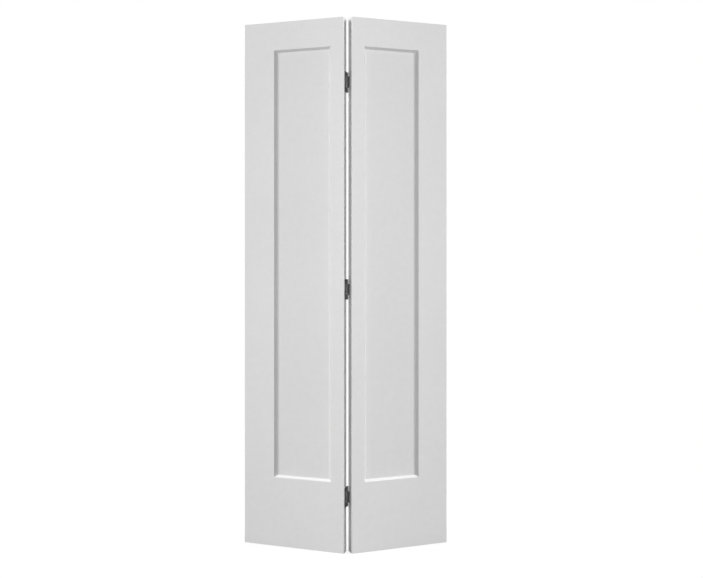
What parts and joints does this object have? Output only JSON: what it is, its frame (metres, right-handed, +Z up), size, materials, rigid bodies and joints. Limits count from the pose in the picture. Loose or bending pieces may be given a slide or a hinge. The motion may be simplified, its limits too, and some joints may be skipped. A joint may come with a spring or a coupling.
{
  "type": "bifold closet door",
  "caption": "Two-leaf folding closet door with one recessed flat panel per leaf, hinged at the back along its middle edge.",
  "frame": {"origin": "middle of the footprint on the floor, door half folded", "axes": "+Z up, front of the door faces -Y, +X to the right seen from the front"},
  "size_m": [0.7828, 0.162, 2.0066],
  "materials": {
    "painted_skin": "white primer, fine satin",
    "frame_wood": "softwood, primed white on the long edges and raw at the ends",
    "core_card": "raw kraft card",
    "hinge_steel": "dark grey satin",
    "screw_steel": "dark grey satin"
  },
  "bodies": {
    "jamb_leaf": {"jamb_leaf_front_skin": "painted_skin", "jamb_leaf_back_skin": "painted_skin", "jamb_leaf_hinge_stile": "frame_wood", "jamb_leaf_outer_stile": "frame_wood", "jamb_leaf_bottom_rail": "frame_wood", "jamb_leaf_top_rail": "frame_wood", "jamb_leaf_honeycomb_core": "core_card", "bottom_hinge_jamb_plate": "hinge_steel", "bottom_hinge_pin": "hinge_steel", "middle_hinge_jamb_plate": "hinge_steel", "middle_hinge_pin": "hinge_steel", "top_hinge_jamb_plate": "hinge_steel", "top_hinge_pin": "hinge_steel"},
    "lead_leaf": {"lead_leaf_front_skin": "painted_skin", "lead_leaf_back_skin": "painted_skin", "lead_leaf_hinge_stile": "frame_wood", "lead_leaf_outer_stile": "frame_wood", "lead_leaf_bottom_rail": "frame_wood", "lead_leaf_top_rail": "frame_wood", "lead_leaf_honeycomb_core": "core_card", "bottom_hinge_lead_plate": "hinge_steel", "middle_hinge_lead_plate": "hinge_steel", "top_hinge_lead_plate": "hinge_steel"}
  },
  "joints": [
    {"name": "fold", "type": "hinge", "parent": "jamb_leaf", "child": "lead_leaf", "pos_m": [0, -0.04276, 0.986], "axis": [0, 0, 1], "range_deg": [-38, 142]}
  ]
}
